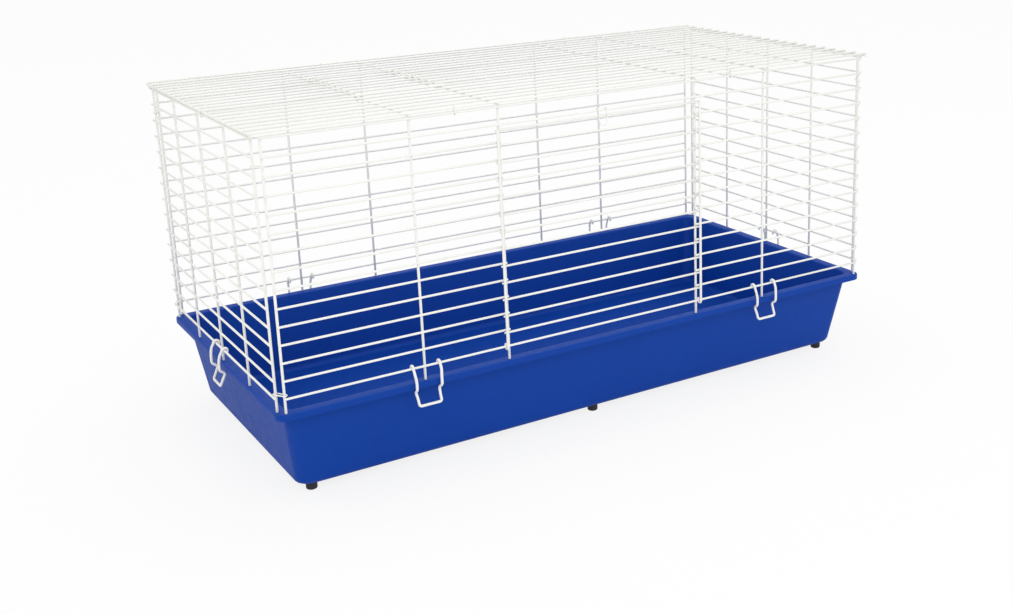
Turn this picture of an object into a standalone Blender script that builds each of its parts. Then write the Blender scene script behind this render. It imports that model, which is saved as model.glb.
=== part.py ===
"""Wire rabbit cage: a welded wire top clipped to a moulded base pan, with a drop-down
front door and a lift-up top door. Metres, +Z up, the long door side faces -Y, origin on
the ground at the middle of the footprint."""

import math

import bmesh
import bpy
from mathutils import Matrix, Vector

# ---------------------------------------------------------------- driving sizes
OVERALL_LENGTH = 1.04775        # over the closed side clips
OVERALL_DEPTH = 0.5207          # over the closed front and back clips
OVERALL_HEIGHT = 0.5207         # ground to the top of the closed roof latch
CLIP_STAND_OUT = 0.0100         # closed base clip beyond the rim
GAP = 0.0003                    # clearance between pieces that touch
WELD_BITE = 0.0004              # how deep two welded wires sink into each other

ROW_WIRE = 0.0032               # diameter of the long horizontal wires
POST_WIRE = 0.0038              # diameter of the uprights and the roof's cross wires
CLIP_WIRE = 0.0040              # diameter of a base clip's spring wire
LATCH_WIRE = 0.0020             # diameter of a door latch's wire
LINK_WIRE = 0.0018              # diameter of the links that tie the panels together

RIM_TOP = 0.1386                # ground to the top of the base pan's rim
RIM_CORNER = 0.0160             # plan radius of the rim's corners
RIM_FLANGE = 0.0150             # width of the flat ledge that the wire top stands on
RIM_ROUND = 0.0020              # radius of the rim's edges
LIP_DROP = 0.0090               # height of the turned-down lip
PAN_WALL = 0.0028               # thickness of the moulding
PAN_FLOOR = 0.0135              # ground to the inside of the floor
END_TAPER = 0.0170              # how far the short walls lean in on their way down
SIDE_TAPER = 0.0230             # how far the long walls lean in on their way down
PAN_HEEL = 0.0090               # radius between the wall and the floor
PAN_FOOT_CORNER = 0.0170        # plan radius of the corners at the floor

FOOT_RADIUS = 0.0080            # radius of a foot
FOOT_PAD_RADIUS = 0.0060        # radius of the flat that it stands on
FOOT_PAD_RISE = 0.0030          # height over which it draws in to that flat
FOOT_PLACE_X = 0.4600           # end feet from the middle, lengthways
FOOT_PLACE_Y = 0.1970           # feet from the middle, across

ROW_INSET = 0.0020              # rim edge to the centre of a horizontal wire
LOWEST_ROW = 0.0218             # rim top to the centre of the lowest horizontal wire
ROW_STEPS = 14                  # equal spaces between the lowest row and the top row
ROW_END_INSET = 0.0108          # rim edge to the cut end of a horizontal wire
LONG_EDGE_INSET = 0.0130        # rim edge to the end uprights of the long panels
SHORT_EDGE_INSET = 0.0170       # rim edge to the end uprights of the short panels
OUTER_POST = 0.3000             # uprights held by the base clips, from the middle
DOOR_POST = 0.1670              # uprights beside the front doorway, from the middle
SIDE_POST = 0.1200              # spacing of the inner uprights of the short panels

ROOF_STEPS = 20                 # equal spaces between the roof's long wires
ROOF_DOOR_FIRST = 7             # long wire in front of the roof doorway
ROOF_DOOR_LAST = 15             # long wire behind the roof doorway

FRONT_DOOR_ROWS = 13            # rows spanned by the front doorway
DOOR_ROW_SHIFT = 0.0041         # a door's rows from the panel's rows beside them
DOOR_TOP_DROP = 0.0075          # front door's top row below the row over the doorway
DOOR_SIDE_OUT = 0.0050          # front door's side wires outside the doorway uprights
DOOR_ROW_OVERHANG = 0.0028      # door rows beyond the wire they rest on
ROOF_DOOR_SIDE_IN = 0.0072      # roof door's side wires inside the doorway wires

CLIP_HOOK_HALF = 0.0202         # base clip: half the distance between its hooks
CLIP_BOW_HALF = 0.0190          # half the width where it bows over the rim
CLIP_KINK_HALF = 0.0180         # half the width where it tucks under the lip
CLIP_TAB_HALF = 0.0170          # half the width of the finger tab
CLIP_SHOULDER = 0.0160          # hinge to where a leg has bowed out all the way
CLIP_TUCK = 0.0010              # how far inside the rim's edge a leg tucks in
CLIP_TAB_BEND = 0.0100          # kink to the bend in the finger tab
CLIP_TAB_DROP = 0.0190          # kink to the bottom bar of the finger tab
LATCH_HOOK_HALF = 0.0070        # door latch: half the distance between its eyes
LATCH_TAB_DROP = 0.0110         # kink to the end of the latch's finger tab
LATCH_TAB_RISE = 0.0060         # how far that end stands out from the wire it turns on
LATCH_TAB_HALF = 0.0050         # half the width of the latch's finger tab
ROOF_LATCH_ROW = 4.5            # roof latch, in row spaces from the roof doorway's front

LINK_LIFT = 0.0045              # lower corner links above the lowest row
LINK_SPACES = 1.5               # upper corner links below the top row, in row spaces

ROUND_SIDES = 6                 # faces round a straight wire
CORNER_STEPS = 6                # facets in a rounded plan corner

# ---------------------------------------------------------------- sizes that follow
ROW_R = ROW_WIRE / 2
POST_R = POST_WIRE / 2
CLIP_R = CLIP_WIRE / 2
LATCH_R = LATCH_WIRE / 2
LINK_R = LINK_WIRE / 2

RIM_X = OVERALL_LENGTH / 2 - CLIP_STAND_OUT
RIM_Y = OVERALL_DEPTH / 2 - CLIP_STAND_OUT
LAYER = ROW_R + POST_R - WELD_BITE          # row centre to post centre in a panel
DOOR_SHIFT = WELD_BITE + GAP                # a door's rows stand this far off the panel's

ROW_X = RIM_X - ROW_INSET                   # centre plane of the short panels' rows
ROW_Y = RIM_Y - ROW_INSET                   # centre plane of the long panels' rows
POST_X = ROW_X - LAYER
POST_Y = ROW_Y - LAYER
ROW_FIRST_Z = RIM_TOP + LOWEST_ROW
ROOF_POST_Z = OVERALL_HEIGHT - LATCH_TAB_RISE - LATCH_R
ROOF_ROW_Z = ROOF_POST_Z + LAYER
TOP_ROW_Z = ROOF_POST_Z - POST_R - GAP - ROW_R
ROW_PITCH = (TOP_ROW_Z - ROW_FIRST_Z) / ROW_STEPS
POST_BOTTOM = RIM_TOP + GAP
POST_TOP = TOP_ROW_Z + WELD_BITE
ROOF_PITCH = 2 * ROW_Y / ROOF_STEPS


def row_z(step):
    """Height of a wall's row, counted up from the lowest."""
    return ROW_FIRST_Z + step * ROW_PITCH


def roof_y(step):
    """Place of one of the roof's long wires, counted from the front."""
    return -ROW_Y + step * ROOF_PITCH


# ---------------------------------------------------------------- scene and materials
for old in list(bpy.data.objects):
    bpy.data.objects.remove(old)

cage = bpy.data.collections.new("wire_rabbit_cage")
bpy.context.scene.collection.children.link(cage)
cutters = bpy.data.collections.new("cutters")
bpy.context.scene.collection.children.link(cutters)


def material(name, colour, roughness, metallic=0.0):
    made = bpy.data.materials.new(name)
    made.use_nodes = True
    shader = made.node_tree.nodes["Principled BSDF"]
    shader.inputs["Base Color"].default_value = (*colour, 1.0)
    shader.inputs["Roughness"].default_value = roughness
    shader.inputs["Metallic"].default_value = metallic
    made.diffuse_color = (*colour, 1.0)
    return made


WHITE_COAT = material("white_powder_coat", (0.86, 0.87, 0.88), 0.35)
BLUE_PLASTIC = material("blue_plastic", (0.012, 0.060, 0.330), 0.35)
DARK_RUBBER = material("dark_rubber", (0.010, 0.012, 0.020), 0.70)


# ---------------------------------------------------------------- wires
ALONG_X = (1.0, 0.0, 0.0)
ALONG_Y = (0.0, 1.0, 0.0)
ALONG_Z = (0.0, 0.0, 1.0)
FLAT_SPIN = math.pi / ROUND_SIDES


def straight_wire(mesh, start, end, radius, facing):
    """Add a closed six-sided bar between two points, with a flat towards facing."""
    start = Vector(start)
    end = Vector(end)
    run = end - start
    along = run.normalized()
    across = along.cross(Vector(facing))
    turn = Matrix((across, Vector(facing), along)).transposed().to_4x4()
    spin = Matrix.Rotation(FLAT_SPIN, 4, "Z")
    place = Matrix.Translation((start + end) / 2) @ turn @ spin
    flat_radius = radius / math.cos(math.pi / ROUND_SIDES)
    bmesh.ops.create_cone(
        mesh,
        cap_ends=True,
        segments=ROUND_SIDES,
        radius1=flat_radius,
        radius2=flat_radius,
        depth=run.length,
        matrix=place,
    )


def mesh_object(name, mesh, home, coat):
    data = bpy.data.meshes.new(name)
    mesh.to_mesh(data)
    mesh.free()
    if coat is not None:
        data.materials.append(coat)
    made = bpy.data.objects.new(name, data)
    home.objects.link(made)
    return made


def wire_mesh(wires, facing, bent=()):
    """One mesh of straight wires, given as (start, end, radius), and of bent ones."""
    mesh = bmesh.new()
    for start, end, radius in wires:
        straight_wire(mesh, start, end, radius, facing)
    for points, radius in bent:
        add_bent_wire(mesh, points, radius)
    return mesh


def add_bent_wire(mesh, points, radius):
    """Turn a formed wire into a closed mesh and add it."""
    data = curve_data("bent", points, radius)
    helper = bpy.data.objects.new("bent", data)
    cage.objects.link(helper)
    depsgraph = bpy.context.evaluated_depsgraph_get()
    solid = bpy.data.meshes.new_from_object(helper.evaluated_get(depsgraph))
    mesh.from_mesh(solid)
    bmesh.ops.remove_doubles(mesh, verts=mesh.verts, dist=0.00001)
    bpy.data.objects.remove(helper)
    bpy.data.meshes.remove(solid)


def welded_grille(name, row_mesh, post_mesh, origin=(0.0, 0.0, 0.0)):
    """Rows and posts become one grille, welded where they cross."""
    panel = mesh_object(name, row_mesh, cage, WHITE_COAT)
    uprights = mesh_object(name + "_posts", post_mesh, cutters, None)
    panel.location = origin
    uprights.location = origin
    uprights.hide_render = True
    uprights.display_type = "WIRE"
    weld = panel.modifiers.new("weld", "BOOLEAN")
    weld.operation = "UNION"
    weld.solver = "EXACT"
    weld.object = uprights
    return panel


def curve_data(name, points, radius, cyclic=False):
    data = bpy.data.curves.new(name, "CURVE")
    data.dimensions = "3D"
    data.bevel_depth = radius
    data.bevel_resolution = 1
    data.use_fill_caps = not cyclic
    spline = data.splines.new("POLY")
    spline.points.add(len(points) - 1)
    for point, place in zip(spline.points, points):
        point.co = (*place, 1.0)
    spline.use_cyclic_u = cyclic
    return data


def bent_wire(name, points, radius, coat, cyclic=False):
    """A formed wire through the points, in the object's own frame."""
    data = curve_data(name, points, radius, cyclic)
    data.materials.append(coat)
    made = bpy.data.objects.new(name, data)
    cage.objects.link(made)
    return made


# ---------------------------------------------------------------- base pan
def rounded_plan(inset_x, inset_y, corner, height):
    """A rounded rectangle, inset from the rim's edge, as a ring of points."""
    half_x = RIM_X - inset_x - corner
    half_y = RIM_Y - inset_y - corner
    ring = []
    for quarter, (side_x, side_y) in enumerate(((1, 1), (-1, 1), (-1, -1), (1, -1))):
        for step in range(CORNER_STEPS + 1):
            angle = math.pi / 2 * (quarter + step / CORNER_STEPS)
            x = side_x * half_x + corner * math.cos(angle)
            y = side_y * half_y + corner * math.sin(angle)
            ring.append(Vector((x, y, height)))
    return ring


def pan_sections():
    """Insets, height and plan radius down the outside of the lip, over the rim and inside."""
    wall_top = RIM_FLANGE + RIM_ROUND
    depth = RIM_TOP - PAN_FLOOR
    small = RIM_ROUND * (1 - math.sqrt(0.5))
    rim = (
        (0.0, RIM_TOP - LIP_DROP, RIM_CORNER),
        (0.0, RIM_TOP - RIM_ROUND, RIM_CORNER),
        (small, RIM_TOP - small, RIM_CORNER),
        (RIM_ROUND, RIM_TOP, RIM_CORNER - RIM_ROUND),
        (RIM_FLANGE, RIM_TOP, RIM_CORNER - RIM_ROUND),
        (wall_top - small, RIM_TOP - small, RIM_CORNER - RIM_ROUND),
        (wall_top, RIM_TOP - RIM_ROUND, RIM_CORNER - RIM_ROUND),
    )
    sections = [(inset, inset, height, corner) for inset, height, corner in rim]
    for step in range(4):
        angle = math.pi / 2 * step / 3
        inward = PAN_HEEL * (1 - math.cos(angle))
        end_inset = wall_top + END_TAPER * (1 - PAN_HEEL / depth) + inward
        side_inset = wall_top + SIDE_TAPER * (1 - PAN_HEEL / depth) + inward
        height = PAN_FLOOR + PAN_HEEL * (1 - math.sin(angle))
        sections.append((end_inset, side_inset, height, PAN_FOOT_CORNER))
    return sections


def build_pan():
    mesh = bmesh.new()
    rings = []
    for inset_x, inset_y, height, corner in pan_sections():
        points = rounded_plan(inset_x, inset_y, corner, height)
        rings.append([mesh.verts.new(point) for point in points])
    count = len(rings[0])
    for outer, inner in zip(rings, rings[1:]):
        for index in range(count):
            after = (index + 1) % count
            mesh.faces.new((outer[index], outer[after], inner[after], inner[index]))
    mesh.faces.new(rings[-1])
    bmesh.ops.recalc_face_normals(mesh, faces=mesh.faces)
    mesh.faces.ensure_lookup_table()
    floor = mesh.faces[-1]
    if floor.normal.z < 0:
        bmesh.ops.reverse_faces(mesh, faces=mesh.faces)
    pan = mesh_object("base_pan", mesh, cage, BLUE_PLASTIC)
    wall = pan.modifiers.new("wall", "SOLIDIFY")
    wall.thickness = PAN_WALL
    wall.offset = -1.0
    wall.use_even_offset = True
    return pan


build_pan()


# ---------------------------------------------------------------- feet
def build_foot(name, x, y):
    """A turned rubber foot under the pan's floor, standing on the ground."""
    top = PAN_FLOOR - PAN_WALL - GAP
    profile = (
        (0.0, top),
        (FOOT_RADIUS, top),
        (FOOT_RADIUS, FOOT_PAD_RISE),
        (FOOT_PAD_RADIUS, 0.0),
        (0.0, 0.0),
    )
    data = bpy.data.meshes.new(name)
    edges = [(index, index + 1) for index in range(len(profile) - 1)]
    data.from_pydata([(px, 0.0, pz) for px, pz in profile], edges, [])
    data.materials.append(DARK_RUBBER)
    foot = bpy.data.objects.new(name, data)
    foot.location = (x, y, 0.0)
    cage.objects.link(foot)
    turn = foot.modifiers.new("turn", "SCREW")
    turn.steps = 16
    turn.render_steps = 16
    turn.use_merge_vertices = True
    turn.merge_threshold = 0.0001
    turn.use_normal_calculate = True
    return foot


for across, side_y in (("front", -1), ("back", 1)):
    for along, side_x in (("left", -1), ("middle", 0), ("right", 1)):
        build_foot(f"foot_{across}_{along}", side_x * FOOT_PLACE_X, side_y * FOOT_PLACE_Y)


# ---------------------------------------------------------------- long wall panels
LONG_END = RIM_X - ROW_END_INSET
LONG_EDGE = RIM_X - LONG_EDGE_INSET
DOOR_ROW_END = DOOR_POST - POST_R           # rows beside the doorway stop at its upright


def long_panel(name, side, doorway):
    """A front or back wall; the doorway leaves out the middle of the rows above the lowest."""
    y = side * ROW_Y
    rows = []
    for step in range(ROW_STEPS + 1):
        z = row_z(step)
        if doorway and 0 < step < FRONT_DOOR_ROWS:
            rows.append(((-LONG_END, y, z), (-DOOR_ROW_END, y, z), ROW_R))
            rows.append(((DOOR_ROW_END, y, z), (LONG_END, y, z), ROW_R))
        else:
            rows.append(((-LONG_END, y, z), (LONG_END, y, z), ROW_R))
    posts = []
    for x in (LONG_EDGE, OUTER_POST, DOOR_POST):
        for sign in (-1, 1):
            bottom = (sign * x, side * POST_Y, POST_BOTTOM)
            top = (sign * x, side * POST_Y, POST_TOP)
            posts.append((bottom, top, POST_R))
    return welded_grille(name, wire_mesh(rows, ALONG_Y), wire_mesh(posts, ALONG_Y))


long_panel("front_panel", -1, True)
long_panel("back_panel", 1, False)


# ---------------------------------------------------------------- short wall panels
SHORT_END = RIM_Y - ROW_END_INSET
SHORT_EDGE = RIM_Y - SHORT_EDGE_INSET


def short_panel(name, side):
    x = side * ROW_X
    rows = []
    for step in range(ROW_STEPS + 1):
        z = row_z(step)
        rows.append(((x, -SHORT_END, z), (x, SHORT_END, z), ROW_R))
    posts = []
    for y in (-SHORT_EDGE, -SIDE_POST, 0.0, SIDE_POST, SHORT_EDGE):
        bottom = (side * POST_X, y, POST_BOTTOM)
        top = (side * POST_X, y, POST_TOP)
        posts.append((bottom, top, POST_R))
    return welded_grille(name, wire_mesh(rows, ALONG_X), wire_mesh(posts, ALONG_X))


short_panel("left_panel", -1)
short_panel("right_panel", 1)


# ---------------------------------------------------------------- roof panel
ROOF_END = RIM_X - ROW_INSET + POST_R
ROOF_DEEP = ROW_Y + ROW_R


def roof_panel():
    """Long wires on top of cross wires, with a doorway between two of the cross wires."""
    rows = []
    for step in range(ROOF_STEPS + 1):
        y = roof_y(step)
        z = ROOF_ROW_Z
        if ROOF_DOOR_FIRST < step < ROOF_DOOR_LAST:
            rows.append(((-ROOF_END, y, z), (-OUTER_POST + POST_R, y, z), ROW_R))
            rows.append(((-DOOR_POST - POST_R, y, z), (ROOF_END, y, z), ROW_R))
        else:
            rows.append(((-ROOF_END, y, z), (ROOF_END, y, z), ROW_R))
    posts = []
    for x in (ROW_X, OUTER_POST, DOOR_POST):
        for sign in (-1, 1):
            near = (sign * x, -ROOF_DEEP, ROOF_POST_Z)
            far = (sign * x, ROOF_DEEP, ROOF_POST_Z)
            posts.append((near, far, POST_R))
    return welded_grille("roof_panel", wire_mesh(rows, ALONG_Z), wire_mesh(posts, ALONG_Z))


roof_panel()


# ---------------------------------------------------------------- doors
CURL_STEPS = 6
CURL_SWEEP = math.radians(220)
DOOR_HANG = LAYER + DOOR_SHIFT              # hinge wire's centre to a door wire laid on it


def curl_round(start_angle, sweep):
    """A curl round a hinge wire, as (out, up) pairs that keep the door wire's clearance."""
    step = sweep / CURL_STEPS
    radius = DOOR_HANG / math.cos(step / 2)
    places = [(DOOR_HANG * math.cos(start_angle), DOOR_HANG * math.sin(start_angle))]
    for index in range(CURL_STEPS):
        angle = start_angle + step * (index + 0.5)
        places.append((radius * math.cos(angle), radius * math.sin(angle)))
    return places


def front_door():
    """Rows outside the doorway uprights, on two side wires that curl round the lowest row."""
    side = DOOR_POST + DOOR_SIDE_OUT
    reach = side + DOOR_ROW_OVERHANG
    rows = []
    heights = [step * ROW_PITCH - DOOR_ROW_SHIFT for step in range(1, FRONT_DOOR_ROWS)]
    heights.append(FRONT_DOOR_ROWS * ROW_PITCH - DOOR_TOP_DROP)
    for z in heights:
        rows.append(((-reach, -DOOR_SHIFT, z), (reach, -DOOR_SHIFT, z), ROW_R))
    top = heights[-1] + ROW_R
    bent = []
    for x in (-side, side):
        places = [(-DOOR_HANG, top)] + curl_round(math.pi, CURL_SWEEP)
        bent.append(([(x, y, z) for y, z in places], POST_R))
    hinge = (0.0, -ROW_Y, ROW_FIRST_Z)
    return welded_grille("front_door", wire_mesh(rows, ALONG_Y), wire_mesh([], ALONG_Y, bent), hinge)


def roof_door():
    """Rows across the roof doorway; the end rows curl round the doorway's left cross wire."""
    left = ROOF_DOOR_SIDE_IN
    right = OUTER_POST - DOOR_POST - ROOF_DOOR_SIDE_IN
    reach = OUTER_POST - DOOR_POST + DOOR_ROW_OVERHANG
    rows = []
    bent = []
    for step in range(ROOF_DOOR_FIRST, ROOF_DOOR_LAST + 1):
        y = roof_y(step) + DOOR_ROW_SHIFT
        if step == ROOF_DOOR_LAST:
            y = roof_y(step) - DOOR_ROW_SHIFT
        if step in (ROOF_DOOR_FIRST, ROOF_DOOR_LAST):
            places = [(reach, DOOR_HANG)] + curl_round(math.pi / 2, CURL_SWEEP)
            bent.append(([(x, y, z) for x, z in places], ROW_R))
        else:
            start = (left - DOOR_ROW_OVERHANG, y, DOOR_HANG)
            rows.append((start, (reach, y, DOOR_HANG), ROW_R))
    front = roof_y(ROOF_DOOR_FIRST) + DOOR_ROW_SHIFT - ROW_R
    back = roof_y(ROOF_DOOR_LAST) - DOOR_ROW_SHIFT + ROW_R
    posts = []
    for x in (left, right):
        posts.append(((x, front, DOOR_SHIFT), (x, back, DOOR_SHIFT), POST_R))
    hinge = (-OUTER_POST, 0.0, ROOF_POST_Z)
    return welded_grille("roof_door", wire_mesh(rows, ALONG_Z, bent), wire_mesh(posts, ALONG_Z), hinge)


front_door()
roof_door()


# ---------------------------------------------------------------- spring clips and latches
EYE_STEPS = 7
EYE_START = math.radians(-40)
EYE_SWEEP = math.radians(220)


def bail(name, wire_radius, hinge_radius, hook_half, shape, place):
    """A formed wire that turns on a hinge wire along its own X and hangs down its own -Z.

    shape is the leg from the hinge to the end bar: (half width, stand-out, drop)."""
    step = EYE_SWEEP / EYE_STEPS
    around = hinge_radius / math.cos(math.pi / ROUND_SIDES) + GAP + wire_radius
    radius = around / math.cos(step / 2)
    leg = []
    for index in range(EYE_STEPS + 1):
        angle = EYE_START + step * index
        leg.append((hook_half, radius * math.cos(angle), radius * math.sin(angle)))
    for half, out, drop in shape:
        leg.append((half, -out, -drop))
    other = [(-x, y, z) for x, y, z in reversed(leg)]
    made = bent_wire(name, leg + other, wire_radius, WHITE_COAT)
    made.matrix_world = place
    return made


def base_clips():
    """Each clip turns on the lowest row, bows over the rim and tucks under the lip."""
    out = ROW_INSET + CLIP_STAND_OUT - CLIP_R
    lip_drop = LOWEST_ROW + LIP_DROP
    kink_drop = lip_drop + 1.5 * CLIP_R + 2 * GAP
    shape = (
        (CLIP_HOOK_HALF, 0.8 * out, 0.4 * CLIP_SHOULDER),
        (CLIP_BOW_HALF, out, CLIP_SHOULDER),
        (CLIP_BOW_HALF, out, lip_drop - CLIP_R / 2),
        (CLIP_KINK_HALF, ROW_INSET - CLIP_TUCK, kink_drop),
        (CLIP_TAB_HALF, 0.6 * out, kink_drop + CLIP_TAB_BEND),
        (CLIP_TAB_HALF, out, kink_drop + CLIP_TAB_DROP),
    )
    z = ROW_FIRST_Z
    spots = (
        ("front_left", -OUTER_POST, -ROW_Y, 0),
        ("front_right", OUTER_POST, -ROW_Y, 0),
        ("right", ROW_X, 0.0, 1),
        ("back_right", OUTER_POST, ROW_Y, 2),
        ("back_left", -OUTER_POST, ROW_Y, 2),
        ("left", -ROW_X, 0.0, 3),
    )
    for label, x, y, quarter in spots:
        place = Matrix.Translation((x, y, z)) @ Matrix.Rotation(quarter * math.pi / 2, 4, "Z")
        bail("base_clip_" + label, CLIP_R, ROW_R, CLIP_HOOK_HALF, shape, place)


def latch_shape(caught_out, caught_drop, caught_radius):
    """A latch leg that passes outside the wire it holds and kinks in just beyond it."""
    fat = caught_radius / math.cos(math.pi / ROUND_SIDES)
    clear = GAP + LATCH_R
    leg_out = caught_out + caught_radius + clear
    reach = math.hypot(caught_out, caught_drop) + fat + clear
    kink_out = caught_out + caught_radius / 2
    kink_drop = math.sqrt(reach * reach - kink_out * kink_out)
    return (
        (LATCH_HOOK_HALF, leg_out, caught_drop / 2),
        (LATCH_HOOK_HALF, leg_out, caught_drop + caught_radius),
        (LATCH_HOOK_HALF, kink_out, kink_drop),
        (LATCH_TAB_HALF, LATCH_TAB_RISE, kink_drop + LATCH_TAB_DROP),
    )


def door_latches():
    """The front latch hangs from the doorway's top row, the roof latch lies over its door."""
    lintel = (0.0, -ROW_Y, row_z(FRONT_DOOR_ROWS))
    front_shape = latch_shape(DOOR_SHIFT, DOOR_TOP_DROP, ROW_R)
    front_place = Matrix.Translation(lintel)
    bail("front_door_latch", LATCH_R, ROW_R, LATCH_HOOK_HALF, front_shape, front_place)
    y = roof_y(ROOF_DOOR_FIRST + ROOF_LATCH_ROW) + DOOR_ROW_SHIFT / 2
    roof_shape = latch_shape(DOOR_SHIFT, ROOF_DOOR_SIDE_IN, POST_R)
    side_on = Matrix(((0, 0, 1, 0), (-1, 0, 0, 0), (0, -1, 0, 0), (0, 0, 0, 1)))
    place = Matrix.Translation((-DOOR_POST, y, ROOF_POST_Z)) @ side_on
    bail("roof_door_latch", LATCH_R, POST_R, LATCH_HOOK_HALF, roof_shape, place)


base_clips()
door_latches()


# ---------------------------------------------------------------- links
LINK_STEPS = 5


def link(name, first, second, wire_radius, wires_along):
    """A closed wire link round two parallel wires, through the points where they cross it."""
    first = Vector(first)
    second = Vector(second)
    along = (second - first).normalized()
    turn = math.pi / LINK_STEPS
    fat = wire_radius / math.cos(math.pi / ROUND_SIDES)
    radius = (fat + GAP + LINK_R) / math.cos(turn / 2)
    across = Vector(wires_along).cross(along)
    points = []
    for centre, start in ((second, -math.pi / 2), (first, math.pi / 2)):
        for index in range(LINK_STEPS + 1):
            angle = start + turn * index
            points.append(centre + radius * (math.cos(angle) * along + math.sin(angle) * across))
    middle = (first + second) / 2
    made = bent_wire(name, [point - middle for point in points], LINK_R, WHITE_COAT, cyclic=True)
    made.location = middle
    return made


for level, z in (("lower", ROW_FIRST_Z + LINK_LIFT), ("upper", row_z(ROW_STEPS - LINK_SPACES))):
    for across, side_y in (("front", -1), ("back", 1)):
        for along, side_x in (("left", -1), ("right", 1)):
            long_post = (side_x * LONG_EDGE, side_y * POST_Y, z)
            short_post = (side_x * POST_X, side_y * SHORT_EDGE, z)
            name = f"corner_link_{across}_{along}_{level}"
            link(name, long_post, short_post, POST_R, ALONG_Z)

ROOF_LINK_SPACE = ROOF_STEPS / 2 - 1.5      # side links sit in this space between long wires
ROOF_LINK_X = (OUTER_POST + DOOR_POST) / 2
for across, side_y in (("front", -1), ("back", 1)):
    for along, side_x in (("left", -1), ("right", 1)):
        x = side_x * ROOF_LINK_X
        y = side_y * ROW_Y
        name = f"roof_link_{across}_{along}"
        link(name, (x, y, TOP_ROW_Z), (x, y, ROOF_ROW_Z), ROW_R, ALONG_X)

ROOF_LINK_Y = roof_y(ROOF_LINK_SPACE)
for along, side_x in (("left", -1), ("right", 1)):
    x = side_x * ROW_X
    low = (x, ROOF_LINK_Y, TOP_ROW_Z)
    high = (x, ROOF_LINK_Y, ROOF_POST_Z)
    link(f"roof_link_{along}", low, high, POST_R, ALONG_Y)
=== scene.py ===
"""Looks of the wire rabbit cage: smooth powder-coated wires on a moulded blue pan.

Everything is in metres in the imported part's own frame: +X to the right as seen from the front,
-Y towards the front door side, +Z up, origin on the ground under the middle."""

import math

import bmesh
import bpy
from mathutils import Matrix, Vector


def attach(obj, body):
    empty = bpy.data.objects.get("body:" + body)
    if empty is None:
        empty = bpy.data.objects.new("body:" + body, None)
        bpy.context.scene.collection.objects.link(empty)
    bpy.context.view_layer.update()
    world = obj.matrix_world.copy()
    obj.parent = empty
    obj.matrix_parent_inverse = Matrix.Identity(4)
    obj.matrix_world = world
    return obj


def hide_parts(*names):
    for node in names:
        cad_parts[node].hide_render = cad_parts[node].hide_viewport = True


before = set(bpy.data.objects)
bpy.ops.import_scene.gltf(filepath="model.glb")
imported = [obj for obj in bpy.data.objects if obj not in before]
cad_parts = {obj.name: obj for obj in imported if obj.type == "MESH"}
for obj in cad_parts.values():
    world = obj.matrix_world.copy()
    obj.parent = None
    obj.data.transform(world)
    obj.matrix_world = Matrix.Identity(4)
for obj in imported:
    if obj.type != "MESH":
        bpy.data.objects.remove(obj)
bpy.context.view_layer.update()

# ------------------------------------------------------------------------ view, room and light
# The cage stands on a plain white floor in a soft studio light. It is seen from the front left,
# a little above its roof, through a lens that is shifted slightly down and to the left.
FLOOR_HALF = 12.0
FLOOR_DROP = 0.0005               # floor below the feet, so that they do not share a plane with it
FLOOR_GLOW = 0.84                 # share of plain white in what the camera sees of the floor
ROOM_LEVEL = 0.93                 # strength of the room's light on the cage

scene = bpy.context.scene
scene.view_settings.view_transform = "Standard"

camera_data = bpy.data.cameras.new("camera")
camera_data.sensor_width = 36.0
camera_data.lens = 47.18
camera_data.shift_x = -0.1186
camera_data.shift_y = -0.0791
camera_data.clip_end = 50.0
camera = bpy.data.objects.new("camera", camera_data)
camera.location = (-1.0000, -1.8512, 0.8396)
camera.rotation_euler = (math.radians(74.300), math.radians(1.236), math.radians(-33.253))
scene.collection.objects.link(camera)
scene.camera = camera


def linear(hex_colour):
    """An sRGB hex colour as linear RGBA."""
    parts = [int(hex_colour[i:i + 2], 16) / 255 for i in (1, 3, 5)]
    out = [c / 12.92 if c <= 0.04045 else ((c + 0.055) / 1.055) ** 2.4 for c in parts]
    return (*out, 1.0)


def add_node(tree, kind, settings=None, values=None, links=()):
    """Add one shader node: its settings, its socket values, and links as (socket, source)."""
    node = tree.nodes.new(kind)
    for key, value in (settings or {}).items():
        setattr(node, key, value)
    for key, value in (values or {}).items():
        node.inputs[key].default_value = value
    for socket, source in links:
        tree.links.new(source, node.inputs[socket])
    return node


def seen_directly(tree):
    """1 for rays from the camera, or by way of a gloss or a clear piece, and 0 for light."""
    path = add_node(tree, "ShaderNodeLightPath")
    gloss = add_node(
        tree, "ShaderNodeMath", {"operation": "MAXIMUM"},
        links=((0, path.outputs["Is Camera Ray"]), (1, path.outputs["Is Glossy Ray"])),
    )
    clear = add_node(
        tree, "ShaderNodeMath", {"operation": "MAXIMUM"},
        links=((0, gloss.outputs[0]), (1, path.outputs["Is Transmission Ray"])),
    )
    return clear.outputs[0]


WHITE = linear("#FFFFFF")


def soft_box(name, place, aim, size, power):
    """A square white area light at a place, turned towards a point."""
    data = bpy.data.lights.new(name, "AREA")
    data.size = size
    data.energy = power
    data.color = WHITE[:3]
    lamp = bpy.data.objects.new(name, data)
    lamp.location = place
    lamp.rotation_euler = (Vector(aim) - Vector(place)).to_track_quat("-Z", "Y").to_euler()
    scene.collection.objects.link(lamp)


soft_box("key_light", (-0.8, -3.6, 2.4), (0.0, 0.0, 0.25), 2.6, 25.0)
soft_box("top_light", (0.6, 0.4, 3.6), (0.0, 0.0, 0.2), 3.0, 14.0)

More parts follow.
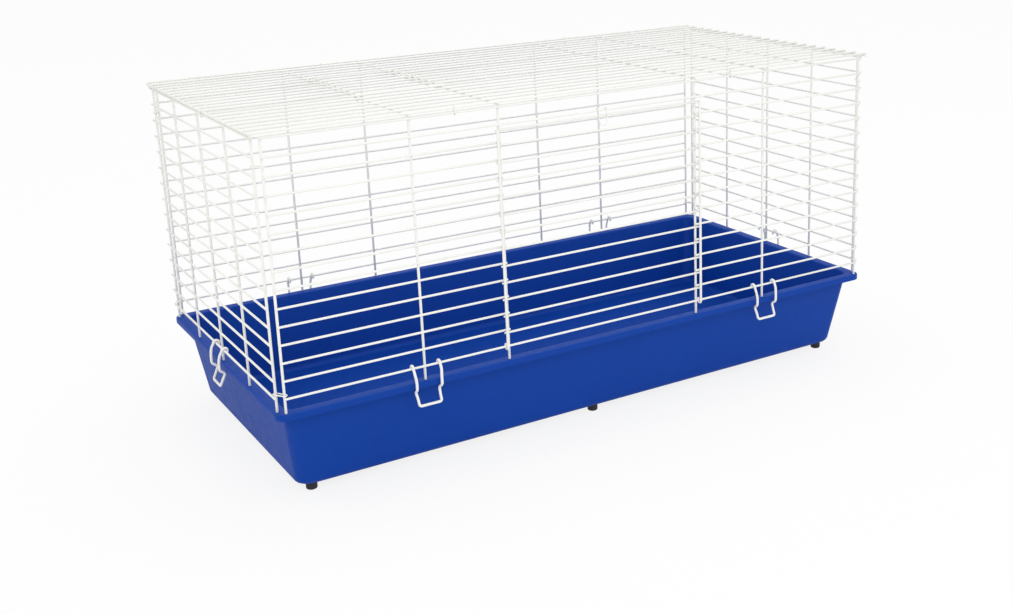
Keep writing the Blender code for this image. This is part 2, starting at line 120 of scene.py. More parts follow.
world = bpy.data.worlds.new("studio")
world.use_nodes = True
scene.world = world
tree = world.node_tree
tree.nodes.clear()
room_light = add_node(tree, "ShaderNodeBackground", values={"Color": WHITE, "Strength": ROOM_LEVEL})
room_white = add_node(tree, "ShaderNodeBackground", values={"Color": WHITE, "Strength": 1.0})
room = add_node(
    tree, "ShaderNodeMixShader",
    links=(("Fac", seen_directly(tree)), (1, room_light.outputs[0]), (2, room_white.outputs[0])),
)
add_node(tree, "ShaderNodeOutputWorld", links=(("Surface", room.outputs[0]),))

floor_mesh = bmesh.new()
bmesh.ops.create_grid(floor_mesh, x_segments=1, y_segments=1, size=FLOOR_HALF)
bmesh.ops.translate(floor_mesh, verts=floor_mesh.verts, vec=(0.0, 0.0, -FLOOR_DROP))
floor_data = bpy.data.meshes.new("floor")
floor_mesh.to_mesh(floor_data)
floor_mesh.free()
floor = bpy.data.objects.new("floor", floor_data)
scene.collection.objects.link(floor)

floor_white = bpy.data.materials.new("white_studio_floor")
floor_white.use_nodes = True
tree = floor_white.node_tree
tree.nodes.clear()
floor_matt = add_node(tree, "ShaderNodeBsdfDiffuse", values={"Color": linear("#F4F4F4")})
floor_glow = add_node(tree, "ShaderNodeEmission", values={"Color": WHITE, "Strength": 1.0})
floor_share = add_node(
    tree, "ShaderNodeMath", {"operation": "MULTIPLY"}, {1: FLOOR_GLOW},
    links=((0, seen_directly(tree)),),
)
floor_mix = add_node(
    tree, "ShaderNodeMixShader",
    links=(("Fac", floor_share.outputs[0]), (1, floor_matt.outputs[0]),
           (2, floor_glow.outputs[0])),
)
add_node(tree, "ShaderNodeOutputMaterial", links=(("Surface", floor_mix.outputs[0]),))
floor_data.materials.append(floor_white)

# ------------------------------------------------------------------------ base pan
# A deep tray moulded in one shot from blue polypropylene: a flat ledge with a turned-down lip,
# walls that lean in, and a generous radius at the floor. The wire top stands on the ledge.
RIM_X = 0.513875                  # middle to the rim at the ends
RIM_Y = 0.25035                   # middle to the rim at the sides
RIM_TOP = 0.1386                  # ground to the top of the rim
RIM_CORNER = 0.0160               # plan radius of the rim's corners
EDGE_ROUND = 0.0020               # radius of the rim's edges
LEDGE = 0.0150                    # width of the flat that the wire top stands on
LIP = 0.0090                      # height of the turned-down lip
PAN_WALL = 0.0028                 # thickness of the moulding
PAN_FLOOR = 0.0135                # ground to the inside of the floor
END_TAPER = 0.0170                # how far the short walls lean in on their way down
SIDE_TAPER = 0.0230               # how far the long walls lean in on their way down
HEEL = 0.0090                     # radius between the wall and the floor
FOOT_CORNER = 0.0170              # plan radius of the corners at the floor
LIP_EDGE_ROUND = 0.0006           # radius of the lip's thin edge
CORNER_STEPS = 14
EDGE_STEPS = 4
HEEL_STEPS = 8


def finish_mesh(name, mesh, surface, body, nodes, smooth=40):
    """Make a bmesh into a piece that rides on a body and stands for CAD nodes. Edges under
    smooth degrees are shaded smooth."""
    data = bpy.data.meshes.new(name)
    mesh.to_mesh(data)
    mesh.free()
    data.materials.append(surface)
    piece = bpy.data.objects.new(name, data)
    scene.collection.objects.link(piece)
    data.shade_smooth()
    data.set_sharp_from_angle(angle=math.radians(smooth))
    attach(piece, body)
    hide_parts(*nodes)
    return piece


def per_mm(size):
    """Pattern scale for features of this many millimetres, on coordinates in metres."""
    return 1000.0 / size


# Moulded polypropylene, tool-textured: a satin skin whose gloss wanders a little where the
# melt cooled at different speeds, over a fine grain.
def moulded_plastic(name, colour, shade, gloss_low, gloss_high):
    made = bpy.data.materials.new(name)
    made.use_nodes = True
    tree = made.node_tree
    tree.nodes.clear()
    where = add_node(tree, "ShaderNodeTexCoord")
    cloud = add_node(
        tree, "ShaderNodeTexNoise", values={"Scale": per_mm(90), "Detail": 3.0, "Roughness": 0.55},
        links=(("Vector", where.outputs["Object"]),),
    )
    tint = add_node(
        tree, "ShaderNodeMix", {"data_type": "RGBA"}, {6: linear(colour), 7: linear(shade)},
        links=((0, cloud.outputs["Fac"]),),
    )
    patches = add_node(
        tree, "ShaderNodeTexNoise", values={"Scale": per_mm(12), "Detail": 4.0},
        links=(("Vector", where.outputs["Object"]),),
    )
    gloss = add_node(
        tree, "ShaderNodeMapRange",
        values={"From Min": 0.3, "From Max": 0.7, "To Min": gloss_low, "To Max": gloss_high},
        links=(("Value", patches.outputs["Fac"]),),
    )
    # The tool's grain is about 0.3 mm; it is drawn at 0.9 mm so that it shows.
    grain = add_node(
        tree, "ShaderNodeTexNoise", values={"Scale": per_mm(0.9), "Detail": 2.0},
        links=(("Vector", where.outputs["Object"]),),
    )
    relief = add_node(
        tree, "ShaderNodeBump", values={"Strength": 0.25, "Distance": 0.00008},
        links=(("Height", grain.outputs["Fac"]),),
    )
    skin = add_node(
        tree, "ShaderNodeBsdfPrincipled", values={"IOR": 1.49, "Specular IOR Level": 0.15},
        links=(("Base Color", tint.outputs[2]), ("Roughness", gloss.outputs[0]),
               ("Normal", relief.outputs[0])),
    )
    add_node(tree, "ShaderNodeOutputMaterial", links=(("Surface", skin.outputs[0]),))
    return made


PAN_BLUE = moulded_plastic("blue_moulded_polypropylene", "#0640A1", "#053D99", 0.50, 0.60)


def ring_down(mesh, edges, old, new):
    """Extrude a ring of edges from its old section to a new one and return the new edges.
    A section is (inset at the ends, inset at the sides, corner radius, height)."""
    made = bmesh.ops.extrude_edge_only(mesh, edges=edges)["geom"]
    ring = [item for item in made if isinstance(item, bmesh.types.BMVert)]
    for vert in ring:
        for axis, half in enumerate((RIM_X, RIM_Y)):
            side = math.copysign(1, vert.co[axis])
            old_centre = side * (half - old[axis] - old[2])
            new_centre = side * (half - new[axis] - new[2])
            vert.co[axis] = new_centre + (vert.co[axis] - old_centre) * new[2] / old[2]
        vert.co.z = new[3]
    return [item for item in made if isinstance(item, bmesh.types.BMEdge)
            and all(vert in ring for vert in item.verts)]


mesh = bmesh.new()
bmesh.ops.create_grid(mesh, x_segments=1, y_segments=1, size=1.0)
bmesh.ops.scale(mesh, vec=(RIM_X, RIM_Y, 1.0), verts=mesh.verts)
bmesh.ops.translate(mesh, vec=(0.0, 0.0, RIM_TOP - LIP), verts=mesh.verts)
bmesh.ops.bevel(mesh, geom=mesh.verts[:], offset=RIM_CORNER, affect="VERTICES",
                segments=CORNER_STEPS, profile=0.5, material=-1)
bmesh.ops.delete(mesh, geom=mesh.faces[:], context="FACES_ONLY")
# From the lip's lower edge up over the rim's outer edge, across the ledge, down its inner edge,
# down the leaning wall and round the heel to the floor.
sections = [(0.0, 0.0, RIM_CORNER, RIM_TOP - LIP)]
for step in range(EDGE_STEPS + 1):
    angle = math.pi / 2 * step / EDGE_STEPS
    inward = EDGE_ROUND * (1 - math.cos(angle))
    down = EDGE_ROUND * (1 - math.sin(angle))
    sections.append((inward, inward, RIM_CORNER - inward, RIM_TOP - down))
for step in range(EDGE_STEPS + 1):
    angle = math.pi / 2 * step / EDGE_STEPS
    inward = LEDGE + EDGE_ROUND * math.sin(angle)
    down = EDGE_ROUND * (1 - math.cos(angle))
    sections.append((inward, inward, RIM_CORNER - EDGE_ROUND, RIM_TOP - down))
lean = 1 - HEEL / (RIM_TOP - PAN_FLOOR)
for step in range(HEEL_STEPS + 1):
    angle = math.pi / 2 * step / HEEL_STEPS
    inward = LEDGE + EDGE_ROUND + HEEL * (1 - math.cos(angle))
    up = HEEL * (1 - math.sin(angle))
    sections.append((inward + END_TAPER * lean, inward + SIDE_TAPER * lean, FOOT_CORNER,
                     PAN_FLOOR + up))
edges = mesh.edges[:]
for old, new in zip(sections, sections[1:]):
    edges = ring_down(mesh, edges, old, new)
bmesh.ops.holes_fill(mesh, edges=edges)
bmesh.ops.recalc_face_normals(mesh, faces=mesh.faces)
pan_floor = min(mesh.faces, key=lambda face: face.calc_center_median().z)
if pan_floor.normal.z < 0:
    bmesh.ops.reverse_faces(mesh, faces=mesh.faces)
pan = finish_mesh("moulded_base_pan", mesh, PAN_BLUE, "base", ["base_pan"])
pan_wall = pan.modifiers.new("wall", "SOLIDIFY")
pan_wall.thickness = PAN_WALL
pan_wall.offset = -1.0
pan_wall.use_even_offset = True
pan_edge = pan.modifiers.new("lip_edge", "BEVEL")
pan_edge.width = LIP_EDGE_ROUND
pan_edge.segments = 2
pan_edge.limit_method = "ANGLE"
pan_edge.angle_limit = math.radians(60)

# ------------------------------------------------------------------------ feet
# Six small moulded rubber feet pressed into the underside, each a short barrel with a rounded
# shoulder and a flat pad to stand on.
FOOT_RADIUS = 0.0080
FOOT_SHOULDER = 0.0020
FOOT_GAP = 0.0003
FOOT_PLACES = {"left": -0.460, "middle": 0.0, "right": 0.460}
FOOT_Y = 0.1970
FOOT_TOP = PAN_FLOOR - PAN_WALL - FOOT_GAP


# Moulded rubber: nearly black, matt, with a faint bloom on its skin.
def rubber(name, colour, bloom):
    made = bpy.data.materials.new(name)
    made.use_nodes = True
    tree = made.node_tree
    tree.nodes.clear()
    where = add_node(tree, "ShaderNodeTexCoord")
    dust = add_node(
        tree, "ShaderNodeTexNoise", values={"Scale": per_mm(3), "Detail": 4.0},
        links=(("Vector", where.outputs["Object"]),),
    )
    tint = add_node(
        tree, "ShaderNodeMix", {"data_type": "RGBA"}, {6: linear(colour), 7: linear(bloom)},
        links=((0, dust.outputs["Fac"]),),
    )
    relief = add_node(
        tree, "ShaderNodeBump", values={"Strength": 0.3, "Distance": 0.00005},
        links=(("Height", dust.outputs["Fac"]),),
    )
    skin = add_node(
        tree, "ShaderNodeBsdfPrincipled", values={"IOR": 1.52, "Roughness": 0.72},
        links=(("Base Color", tint.outputs[2]), ("Normal", relief.outputs[0])),
    )
    add_node(tree, "ShaderNodeOutputMaterial", links=(("Surface", skin.outputs[0]),))
    return made


FOOT_RUBBER = rubber("dark_moulded_rubber", "#14151A", "#1E2026")

for across, side in (("front", -1), ("back", 1)):
    for along, x in FOOT_PLACES.items():
        mesh = bmesh.new()
        bmesh.ops.create_cone(mesh, cap_ends=True, segments=32, radius1=FOOT_RADIUS,
                              radius2=FOOT_RADIUS, depth=FOOT_TOP)
        low = [edge for edge in mesh.edges if all(vert.co.z < 0 for vert in edge.verts)]
        bmesh.ops.bevel(mesh, geom=low, offset=FOOT_SHOULDER, affect="EDGES", segments=4,
                        profile=0.5, material=-1)
        bmesh.ops.translate(mesh, verts=mesh.verts, vec=(x, side * FOOT_Y, FOOT_TOP / 2))
        finish_mesh(f"rubber_foot_{across}_{along}", mesh, FOOT_RUBBER, "base",
                    [f"foot_{across}_{along}"])

# ------------------------------------------------------------------------ wire panels
# Cold-drawn steel wire, cut, laid in a jig and spot-welded where it crosses, then powder-coated
# white. The rows lie outside the uprights; the coat runs into a small bead at every weld.
ROW_R = 0.0016
POST_R = 0.0019
BEAD_HALF_WIDTH = 0.0021
BEAD_HALF_DEPTH = 0.0012
BITE = 0.0004                     # how deep two welded wires sink into each other
GAP = 0.0003                      # clearance between pieces that touch
LAYER = ROW_R + POST_R - BITE     # row centre to post centre
ROW_INSET = 0.0020                # rim edge to the centre of a row
ROW_END_INSET = 0.0108            # rim edge to the cut end of a row
LONG_EDGE_INSET = 0.0130          # rim edge to the end uprights of the long panels
SHORT_EDGE_INSET = 0.0170         # rim edge to the end uprights of the short panels
LOWEST_ROW = 0.0218               # rim top to the centre of the lowest row
ROW_X = RIM_X - ROW_INSET
ROW_Y = RIM_Y - ROW_INSET
POST_X = ROW_X - LAYER
POST_Y = ROW_Y - LAYER
ROOF_POST_Z = 0.5137
ROOF_ROW_Z = ROOF_POST_Z + LAYER
FIRST_ROW = RIM_TOP + LOWEST_ROW
TOP_ROW = ROOF_POST_Z - POST_R - GAP - ROW_R
ROW_STEPS = 14                    # equal spaces between the lowest row and the top row
ROW_PITCH = (TOP_ROW - FIRST_ROW) / ROW_STEPS
POST_FOOT = RIM_TOP + GAP
POST_TOP = TOP_ROW + BITE
LONG_END = RIM_X - ROW_END_INSET
LONG_EDGE = RIM_X - LONG_EDGE_INSET
SHORT_END = RIM_Y - ROW_END_INSET
SHORT_EDGE = RIM_Y - SHORT_EDGE_INSET
OUTER_POST = 0.3000               # uprights held by the base clips, from the middle
DOOR_POST = 0.1670                # uprights beside the front doorway, from the middle
SIDE_POST = 0.1200                # inner uprights of the short panels, from the middle
FRONT_DOOR_ROWS = 13              # row spaces spanned by the front doorway
ROOF_STEPS = 20                   # equal spaces between the roof's long wires
ROOF_DOOR_FIRST = 7               # long wire in front of the roof doorway
ROOF_DOOR_LAST = 15               # long wire behind the roof doorway
ROOF_PITCH = 2 * ROW_Y / ROOF_STEPS
ROOF_END = ROW_X + POST_R
ROOF_DEEP = ROW_Y + ROW_R


# Polyester powder coat on steel: a thick, slightly wavy satin skin with the faint orange peel
# that the melted powder leaves, and a touch less gloss where it pooled.
def powder_coat(name, colour, shade):
    made = bpy.data.materials.new(name)
    made.use_nodes = True
    tree = made.node_tree
    tree.nodes.clear()
    where = add_node(tree, "ShaderNodeTexCoord")
    cloud = add_node(
        tree, "ShaderNodeTexNoise", values={"Scale": per_mm(35), "Detail": 3.0},
        links=(("Vector", where.outputs["Object"]),),
    )
    tint = add_node(
        tree, "ShaderNodeMix", {"data_type": "RGBA"}, {6: linear(colour), 7: linear(shade)},
        links=((0, cloud.outputs["Fac"]),),
    )
    pools = add_node(
        tree, "ShaderNodeTexNoise", values={"Scale": per_mm(6), "Detail": 2.0},
        links=(("Vector", where.outputs["Object"]),),
    )
    gloss = add_node(
        tree, "ShaderNodeMapRange",
        values={"From Min": 0.3, "From Max": 0.7, "To Min": 0.28, "To Max": 0.42},
        links=(("Value", pools.outputs["Fac"]),),
    )
    peel = add_node(
        tree, "ShaderNodeTexNoise", values={"Scale": per_mm(1.4), "Detail": 1.0},
        links=(("Vector", where.outputs["Object"]),),
    )
    relief = add_node(
        tree, "ShaderNodeBump", values={"Strength": 0.35, "Distance": 0.00006},
        links=(("Height", peel.outputs["Fac"]),),
    )
    skin = add_node(
        tree, "ShaderNodeBsdfPrincipled", values={"IOR": 1.50},
        links=(("Base Color", tint.outputs[2]), ("Roughness", gloss.outputs[0]),
               ("Normal", relief.outputs[0])),
    )
    add_node(tree, "ShaderNodeOutputMaterial", links=(("Surface", skin.outputs[0]),))
    return made


WIRE_WHITE = powder_coat("white_powder_coat_on_wire", "#F6F6F1", "#EFEFE9")


def round_bar(mesh, start, end, radius):
    """A cut length of round wire, its ends dulled by the coat."""
    run = Vector(end) - Vector(start)
    turn = run.to_track_quat("Z", "Y").to_matrix().to_4x4()
    place = Matrix.Translation((Vector(start) + Vector(end)) / 2) @ turn
    made = bmesh.ops.create_cone(mesh, cap_ends=True, segments=12, radius1=radius,
                                 radius2=radius, depth=run.length, matrix=place)
    caps = {edge for vert in made["verts"] for edge in vert.link_edges
            if abs((edge.verts[0].co - edge.verts[1].co).dot(run)) < 1e-9}
    bmesh.ops.bevel(mesh, geom=list(caps), offset=radius * 0.3, affect="EDGES", segments=1,
                    profile=0.5, material=-1)


def weld_bead(mesh, place, normal):
    """The coat's fillet where two wires are welded: a small flattened bead between them."""
    turn = Vector(normal).to_track_quat("Z", "Y").to_matrix().to_4x4()
    squash = Matrix.Diagonal((BEAD_HALF_WIDTH, BEAD_HALF_WIDTH, BEAD_HALF_DEPTH, 1.0))
    bmesh.ops.create_uvsphere(mesh, u_segments=8, v_segments=5, radius=1.0,
                              matrix=Matrix.Translation(place) @ turn @ squash)


def grille(name, rows, posts, normal, body, node, mesh=None):
    """Rows and posts as (start, end), with a bead where a row crosses a post. normal points
    from the posts' layer to the rows' layer."""
    mesh = mesh or bmesh.new()
    normal = Vector(normal)
    for start, end in rows:
        round_bar(mesh, start, end, ROW_R)
    for start, end in posts:
        round_bar(mesh, start, end, POST_R)
    slack = 0.001
    for row_start, row_end in rows:
        row = Vector(row_end) - Vector(row_start)
        for post_start, post_end in posts:
            post = Vector(post_end) - Vector(post_start)
            apart = Vector(post_start) - Vector(row_start)
            along_row = apart.dot(row.normalized())
            along_post = -apart.dot(post.normalized())
            in_row = -slack < along_row < row.length + slack
            in_post = -slack < along_post < post.length + slack
            if in_row and in_post:
                spot = Vector(row_start) + row.normalized() * along_row
                weld_bead(mesh, spot - normal * (ROW_R - BITE / 2), normal)
    return finish_mesh(name, mesh, WIRE_WHITE, body, [node], smooth=50)


for label, side in (("front", -1), ("back", 1)):
    y = side * ROW_Y
    rows = []
    for step in range(ROW_STEPS + 1):
        z = FIRST_ROW + step * ROW_PITCH
        if label == "front" and 0 < step < FRONT_DOOR_ROWS:
            rows.append(((-LONG_END, y, z), (-DOOR_POST + POST_R, y, z)))
            rows.append(((DOOR_POST - POST_R, y, z), (LONG_END, y, z)))
        else:
            rows.append(((-LONG_END, y, z), (LONG_END, y, z)))
    posts = []
    for x in (-LONG_EDGE, -OUTER_POST, -DOOR_POST, DOOR_POST, OUTER_POST, LONG_EDGE):
        posts.append(((x, side * POST_Y, POST_FOOT), (x, side * POST_Y, POST_TOP)))
    grille(label + "_wire_panel", rows, posts, (0, side, 0), "wire_top", label + "_panel")

for label, side in (("left", -1), ("right", 1)):
    x = side * ROW_X
    rows = []
    for step in range(ROW_STEPS + 1):
        z = FIRST_ROW + step * ROW_PITCH
        rows.append(((x, -SHORT_END, z), (x, SHORT_END, z)))
    posts = []
    for y in (-SHORT_EDGE, -SIDE_POST, 0.0, SIDE_POST, SHORT_EDGE):
        posts.append(((side * POST_X, y, POST_FOOT), (side * POST_X, y, POST_TOP)))
    grille(label + "_wire_panel", rows, posts, (side, 0, 0), "wire_top", label + "_panel")

roof_rows = []
for step in range(ROOF_STEPS + 1):
    y = -ROW_Y + step * ROOF_PITCH
    if ROOF_DOOR_FIRST < step < ROOF_DOOR_LAST:
        roof_rows.append(((-ROOF_END, y, ROOF_ROW_Z), (-OUTER_POST + POST_R, y, ROOF_ROW_Z)))
        roof_rows.append(((-DOOR_POST - POST_R, y, ROOF_ROW_Z), (ROOF_END, y, ROOF_ROW_Z)))
    else:
        roof_rows.append(((-ROOF_END, y, ROOF_ROW_Z), (ROOF_END, y, ROOF_ROW_Z)))
roof_posts = []
for x in (-ROW_X, -OUTER_POST, -DOOR_POST, DOOR_POST, OUTER_POST, ROW_X):
    roof_posts.append(((x, -ROOF_DEEP, ROOF_POST_Z), (x, ROOF_DEEP, ROOF_POST_Z)))
grille("roof_wire_panel", roof_rows, roof_posts, (0, 0, 1), "wire_top", "roof_panel")

# ------------------------------------------------------------------------ links
# Small rings of the same coated wire that tie the panels together: two at each corner, two
# along each long edge of the roof, and one near the middle of each of its short edges.
LINK_R = 0.0009
LINK_STEPS = 12                   # steps round each end of a link
LINK_LIFT = 0.0045                # lower corner links above the lowest row
LINK_SPACES = 1.5                 # upper corner links below the top row, in row spaces
ROOF_LINK_SPACE = 8.5             # links of the short edges, in spaces from the roof's front wire


def swept_wire(mesh, points, radius, closed=False, resolution=4):
    """Sweep a round wire along the points and add it to the mesh as one closed skin."""
    data = bpy.data.curves.new("sweep", "CURVE")
    data.dimensions = "3D"
    data.bevel_depth = radius
    data.bevel_resolution = resolution
    data.use_fill_caps = not closed
    spline = data.splines.new("POLY")
    spline.points.add(len(points) - 1)
    for point, place in zip(spline.points, points):
        point.co = (*place, 1.0)
    spline.use_cyclic_u = closed
    helper = bpy.data.objects.new("sweep", data)
    scene.collection.objects.link(helper)
    settled = bpy.context.evaluated_depsgraph_get()
    solid = bpy.data.meshes.new_from_object(helper.evaluated_get(settled))
    mesh.from_mesh(solid)
    bmesh.ops.remove_doubles(mesh, verts=mesh.verts, dist=0.000005)
    bpy.data.objects.remove(helper)
    bpy.data.meshes.remove(solid)
    bpy.data.curves.remove(data)


def wire_link(name, node, first, second, wire_radius, wires_along):
    """A closed link round two parallel wires."""
    fit = wire_radius + GAP + LINK_R
    first = Vector(first)
    second = Vector(second)
    along = (second - first).normalized()
    across = Vector(wires_along).cross(along)
    points = []
    for centre, start in ((second, -math.pi / 2), (first, math.pi / 2)):
        for index in range(LINK_STEPS + 1):
            angle = start + math.pi * index / LINK_STEPS
            points.append(centre + fit * (math.cos(angle) * along + math.sin(angle) * across))
    mesh = bmesh.new()
    swept_wire(mesh, points, LINK_R, closed=True, resolution=3)
    finish_mesh(name, mesh, WIRE_WHITE, "wire_top", [node])


lower_z = FIRST_ROW + LINK_LIFT
upper_z = FIRST_ROW + (ROW_STEPS - LINK_SPACES) * ROW_PITCH
for level, z in (("lower", lower_z), ("upper", upper_z)):
    for across, side_y in (("front", -1), ("back", 1)):
        for along, side_x in (("left", -1), ("right", 1)):
            label = f"corner_link_{across}_{along}_{level}"
            wire_link("wire_" + label, label, (side_x * LONG_EDGE, side_y * POST_Y, z),
                      (side_x * POST_X, side_y * SHORT_EDGE, z), POST_R, (0, 0, 1))
for across, side_y in (("front", -1), ("back", 1)):
    for along, side_x in (("left", -1), ("right", 1)):
        label = f"roof_link_{across}_{along}"
        x = side_x * (OUTER_POST + DOOR_POST) / 2
        y = side_y * ROW_Y
        wire_link("wire_" + label, label, (x, y, TOP_ROW), (x, y, ROOF_ROW_Z), ROW_R, (1, 0, 0))
for along, side_x in (("left", -1), ("right", 1)):
    label = f"roof_link_{along}"
    x = side_x * ROW_X
    y = -ROW_Y + ROOF_LINK_SPACE * ROOF_PITCH
    wire_link("wire_" + label, label, (x, y, TOP_ROW), (x, y, ROOF_POST_Z), POST_R, (0, 1, 0))

# ------------------------------------------------------------------------ front door
# A smaller welded grille outside the doorway. Its two side wires end in curls that are closed
# round the panel's lowest row, which is the hinge.
DOOR_HANG = LAYER + BITE + GAP    # hinge wire's centre to a door wire laid on it
DOOR_SHIFT = BITE + GAP           # a door's rows stand this far off the panel's
DOOR_ROW_SHIFT = 0.0041           # a door's rows from the panel's rows beside them
DOOR_TOP_DROP = 0.0075            # top row below the row over the doorway
DOOR_SIDE_OUT = 0.0050            # side wires outside the doorway's uprights
DOOR_OVERHANG = 0.0028            # door rows beyond the wire they rest on
DOOR_SIDE = DOOR_POST + DOOR_SIDE_OUT
DOOR_REACH = DOOR_SIDE + DOOR_OVERHANG
DOORWAY_TOP = FIRST_ROW + FRONT_DOOR_ROWS * ROW_PITCH
CURL_SWEEP = math.radians(220)
CURL_STEPS = 18


def curl(start_angle):
    """A curl round a hinge wire at the door wire's own distance, as (across, up) pairs."""
    angles = [start_angle + CURL_SWEEP * index / CURL_STEPS for index in range(CURL_STEPS + 1)]
    return [(DOOR_HANG * math.cos(angle), DOOR_HANG * math.sin(angle)) for angle in angles]


door_y = -ROW_Y - DOOR_SHIFT
door_heights = []
for step in range(1, FRONT_DOOR_ROWS):
    door_heights.append(FIRST_ROW + step * ROW_PITCH - DOOR_ROW_SHIFT)
door_heights.append(DOORWAY_TOP - DOOR_TOP_DROP)
mesh = bmesh.new()
for x in (-DOOR_SIDE, DOOR_SIDE):
    places = [(-DOOR_HANG, door_heights[-1] + ROW_R - FIRST_ROW)] + curl(math.pi)
    swept_wire(mesh, [(x, across - ROW_Y, up + FIRST_ROW) for across, up in places], POST_R)
    for z in door_heights:
        weld_bead(mesh, Vector((x, door_y - ROW_R + BITE / 2, z)), (0, -1, 0))
door_rows = [((-DOOR_REACH, door_y, z), (DOOR_REACH, door_y, z)) for z in door_heights]
grille("front_door_grille", door_rows, [], (0, 1, 0), "front_door", "front_door", mesh)

# ------------------------------------------------------------------------ roof door
# A small welded grille that lies on the roof's left doorway. Its end rows are curled round the
# doorway's left cross wire, which is the hinge.
ROOF_DOOR_IN = 0.0072             # side wires inside the doorway's cross wires
roof_door_left = -OUTER_POST + ROOF_DOOR_IN
roof_door_right = -DOOR_POST - ROOF_DOOR_IN
roof_door_end = -DOOR_POST + DOOR_OVERHANG
roof_door_z = ROOF_POST_Z + DOOR_HANG
roof_door_ys = []
for step in range(ROOF_DOOR_FIRST, ROOF_DOOR_LAST):
    roof_door_ys.append(-ROW_Y + step * ROOF_PITCH + DOOR_ROW_SHIFT)
roof_door_ys.append(-ROW_Y + ROOF_DOOR_LAST * ROOF_PITCH - DOOR_ROW_SHIFT)
mesh = bmesh.new()
for y in (roof_door_ys[0], roof_door_ys[-1]):
    places = [(OUTER_POST - DOOR_POST + DOOR_OVERHANG, DOOR_HANG)] + curl(math.pi / 2)
    swept_wire(mesh, [(across - OUTER_POST, y, up + ROOF_POST_Z) for across, up in places], ROW_R)
    for x in (roof_door_left, roof_door_right):
        weld_bead(mesh, Vector((x, y, roof_door_z - ROW_R + BITE / 2)), (0, 0, 1))
rows = []
for y in roof_door_ys[1:-1]:
    rows.append(((roof_door_left - DOOR_OVERHANG, y, roof_door_z), (roof_door_end, y, roof_door_z)))
posts = []
for x in (roof_door_left, roof_door_right):
    z = ROOF_POST_Z + DOOR_SHIFT
    posts.append(((x, roof_door_ys[0] - ROW_R, z), (x, roof_door_ys[-1] + ROW_R, z)))
grille("roof_door_grille", rows, posts, (0, 0, 1), "roof_door", "roof_door", mesh)

# ------------------------------------------------------------------------ spring clips and latches
# Formed spring wire with the same white coat. Each has two eyes round its hinge wire, legs that
# snap over what it holds, and a bowed finger tab. Six clips hold the pan, two latches the doors.
CLIP_R = 0.0020
CLIP_STAND_OUT = 0.0100           # closed clip beyond the rim
CLIP_SETBACK = 0.0002             # keeps the round wire inside its solid
CLIP_HOOK_HALF = 0.0202           # half the distance between the hooks
CLIP_BOW_HALF = 0.0190            # half the width where it bows over the rim
CLIP_KINK_HALF = 0.0180           # half the width where it tucks under the lip
CLIP_TAB_HALF = 0.0170            # half the width of the finger tab
CLIP_ELBOW = 0.0064               # hinge to the leg's first bend
CLIP_SHOULDER = 0.0160            # hinge to where a leg has bowed out all the way
CLIP_TUCK = 0.0010                # how far inside the rim's edge a leg tucks in
CLIP_TAB_BEND = 0.0100            # kink to the bend in the finger tab
CLIP_TAB_DROP = 0.0190            # kink to the bottom bar of the finger tab
CLIP_OUT = ROW_INSET + CLIP_STAND_OUT - CLIP_R - CLIP_SETBACK
LIP_BELOW_ROW = LOWEST_ROW + LIP  # hinge to the lip's lower edge
KINK_DROP = LIP_BELOW_ROW + 1.5 * CLIP_R + 2 * GAP
LATCH_R = 0.0010
LATCH_HOOK_HALF = 0.0070          # half the distance between the eyes
LATCH_TAB_HALF = 0.0050           # half the width of the finger tab
LATCH_TAB_OUT = 0.0058            # how far its end stands out from the hinge wire
LATCH_TAB_DROP = 0.0110           # kink to the end of the finger tab
ROOF_LATCH_SPACE = 11.5           # roof latch, in spaces from the roof's front wire
EYE_START_DEGREES = -40
EYE_SWEEP_DEGREES = 220
EYE_STEPS = 14
BEND_STEPS = 6
# A hinge wire's solid is six-sided: its flats lie at this share of its corners' distance.
FLAT_SHARE = math.cos(math.pi / 6)


def rounded_path(points, bends):
    """The points with each inner corner turned into a smooth bend of its own size."""
    points = [Vector(point) for point in points]
    path = [points[0]]
    for before, corner, after, bend in zip(points, points[1:], points[2:], bends):
        back = before - corner
        ahead = after - corner
        reach = min(bend, back.length * 0.48, ahead.length * 0.48)
        start = corner + back.normalized() * reach
        end = corner + ahead.normalized() * reach
        for index in range(BEND_STEPS + 1):
            t = index / BEND_STEPS
            path.append(start * (1 - t) ** 2 + corner * 2 * t * (1 - t) + end * t ** 2)
    path.append(points[-1])
    return path


def bail(name, node, body, wire_radius, hinge_radius, hook_half, shape, place):
    """A formed wire that turns on a hinge wire along its own X and hangs down its own -Z.
    shape is the leg from the hinge to the end bar: (half width, stand-out, drop, bend)."""
    around = hinge_radius / FLAT_SHARE + GAP + wire_radius
    eye = []
    for index in range(EYE_STEPS + 1):
        angle = math.radians(EYE_START_DEGREES + EYE_SWEEP_DEGREES * index / EYE_STEPS)
        eye.append(Vector((hook_half, around * math.cos(angle), around * math.sin(angle))))
    leg = [Vector((half, -out, -drop)) for half, out, drop, bend in shape]
    bends = [bend for half, out, drop, bend in shape]
    turned = [Vector((-point.x, point.y, point.z)) for point in reversed(eye[-1:] + leg)]
    rest = rounded_path(eye[-1:] + leg + turned, bends + bends[::-1])
    other_eye = [Vector((-point.x, point.y, point.z)) for point in reversed(eye[:-1])]
    mesh = bmesh.new()
    swept_wire(mesh, [place @ point for point in eye[:-1] + rest + other_eye], wire_radius)
    finish_mesh(name, mesh, WIRE_WHITE, body, [node], smooth=60)


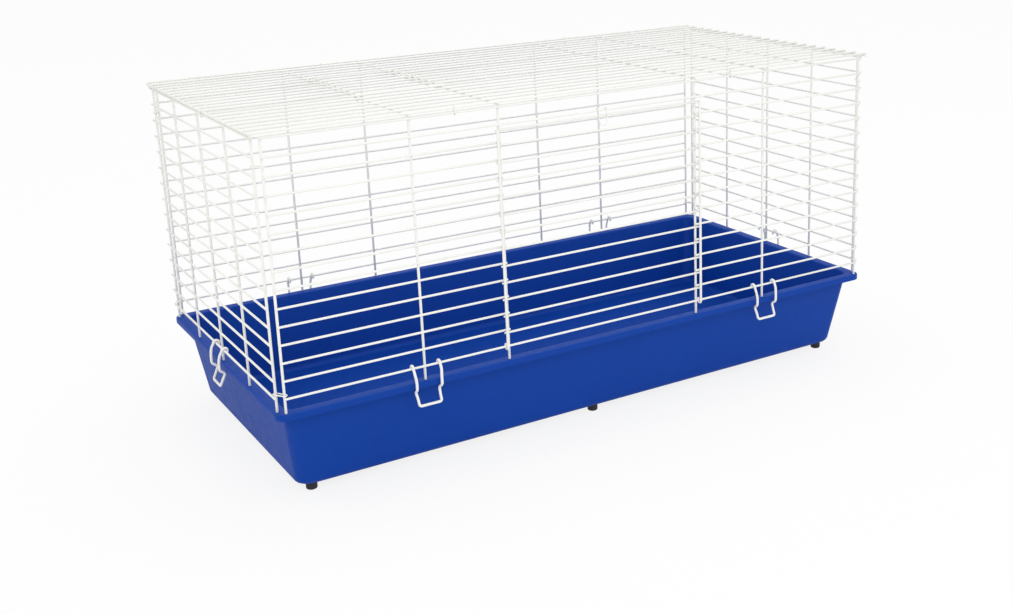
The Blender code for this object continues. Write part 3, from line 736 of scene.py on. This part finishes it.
CLIP_SHAPE = (
    (CLIP_HOOK_HALF, 0.8 * CLIP_OUT, CLIP_ELBOW, 0.0050),
    (CLIP_BOW_HALF, CLIP_OUT, CLIP_SHOULDER, 0.0060),
    (CLIP_BOW_HALF, CLIP_OUT, LIP_BELOW_ROW - CLIP_R / 2, 0.0050),
    (CLIP_KINK_HALF, ROW_INSET - CLIP_TUCK, KINK_DROP, 0.0045),
    (CLIP_TAB_HALF, 0.6 * CLIP_OUT, KINK_DROP + CLIP_TAB_BEND, 0.0040),
    (CLIP_TAB_HALF, CLIP_OUT, KINK_DROP + CLIP_TAB_DROP, 0.0040),
)
CLIP_PLACES = (
    ("front_left", -OUTER_POST, -ROW_Y, 0),
    ("front_right", OUTER_POST, -ROW_Y, 0),
    ("right", ROW_X, 0.0, 1),
    ("back_right", OUTER_POST, ROW_Y, 2),
    ("back_left", -OUTER_POST, ROW_Y, 2),
    ("left", -ROW_X, 0.0, 3),
)
for label, x, y, quarter in CLIP_PLACES:
    place = Matrix.Translation((x, y, FIRST_ROW)) @ Matrix.Rotation(quarter * math.pi / 2, 4, "Z")
    bail(f"wire_clip_{label}", f"base_clip_{label}", f"base_clip_{label}", CLIP_R, ROW_R,
         CLIP_HOOK_HALF, CLIP_SHAPE, place)


def latch_shape(caught_out, caught_drop, caught_radius):
    """A latch leg that passes outside the wire it holds and kinks in just beyond it."""
    step = GAP + LATCH_R
    leg_out = caught_out + caught_radius + step
    reach = math.hypot(caught_out, caught_drop) + caught_radius / FLAT_SHARE + step
    kink_out = caught_out + caught_radius / 2
    kink_drop = math.sqrt(reach * reach - kink_out * kink_out)
    return (
        (LATCH_HOOK_HALF, leg_out, caught_drop / 2, 0.0020),
        (LATCH_HOOK_HALF, leg_out, caught_drop + caught_radius, 0.0010),
        (LATCH_HOOK_HALF, kink_out, kink_drop, 0.0010),
        (LATCH_TAB_HALF, LATCH_TAB_OUT, kink_drop + LATCH_TAB_DROP, 0.0030),
    )


bail("front_latch_wire", "front_door_latch", "front_door_latch", LATCH_R, ROW_R,
     LATCH_HOOK_HALF, latch_shape(DOOR_SHIFT, DOOR_TOP_DROP, ROW_R),
     Matrix.Translation((0.0, -ROW_Y, DOORWAY_TOP)))
# The roof's latch turns on a cross wire and lies over the door, so its own X runs along -Y and
# its own -Z along -X, with its stand-out upwards.
side_on = Matrix(((0, 0, 1, 0), (-1, 0, 0, 0), (0, -1, 0, 0), (0, 0, 0, 1)))
roof_latch_y = -ROW_Y + ROOF_LATCH_SPACE * ROOF_PITCH + DOOR_ROW_SHIFT / 2
bail("roof_latch_wire", "roof_door_latch", "roof_door_latch", LATCH_R, POST_R,
     LATCH_HOOK_HALF, latch_shape(DOOR_SHIFT, ROOF_DOOR_IN, POST_R),
     Matrix.Translation((-DOOR_POST, roof_latch_y, ROOF_POST_Z)) @ side_on)
